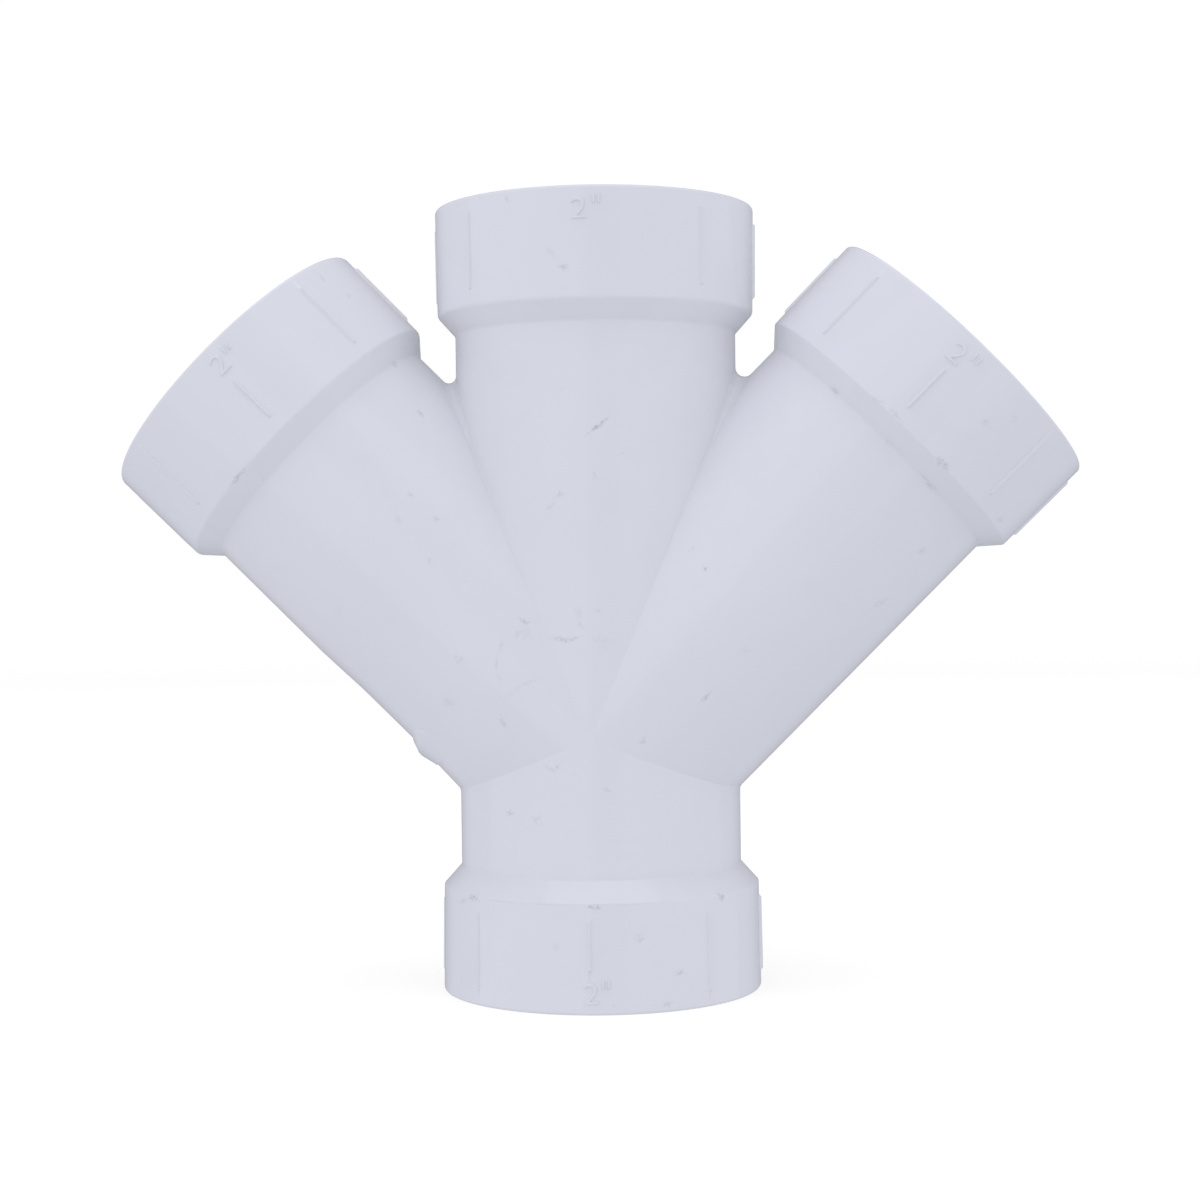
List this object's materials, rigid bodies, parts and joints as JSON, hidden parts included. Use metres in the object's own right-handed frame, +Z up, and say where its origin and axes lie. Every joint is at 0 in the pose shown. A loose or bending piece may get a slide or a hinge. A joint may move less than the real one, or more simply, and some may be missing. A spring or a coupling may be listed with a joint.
{
  "type": "double wye pipe fitting",
  "caption": "Moulded plastic drain fitting with a straight run and a branch on each side at 45 degrees, every end a socket hub with alignment ribs",
  "frame": {"origin": "centre of the lower hub's rim, on which the fitting stands", "axes": "+Z up along the run, +X towards the right branch as seen from the marked side, which faces -Y"},
  "size_m": [0.2051, 0.0694, 0.1668],
  "materials": {
    "pvc": "white, as moulded, with a soft satin sheen"
  },
  "bodies": {
    "root": {"double_wye": "pvc"}
  },
  "joints": []
}
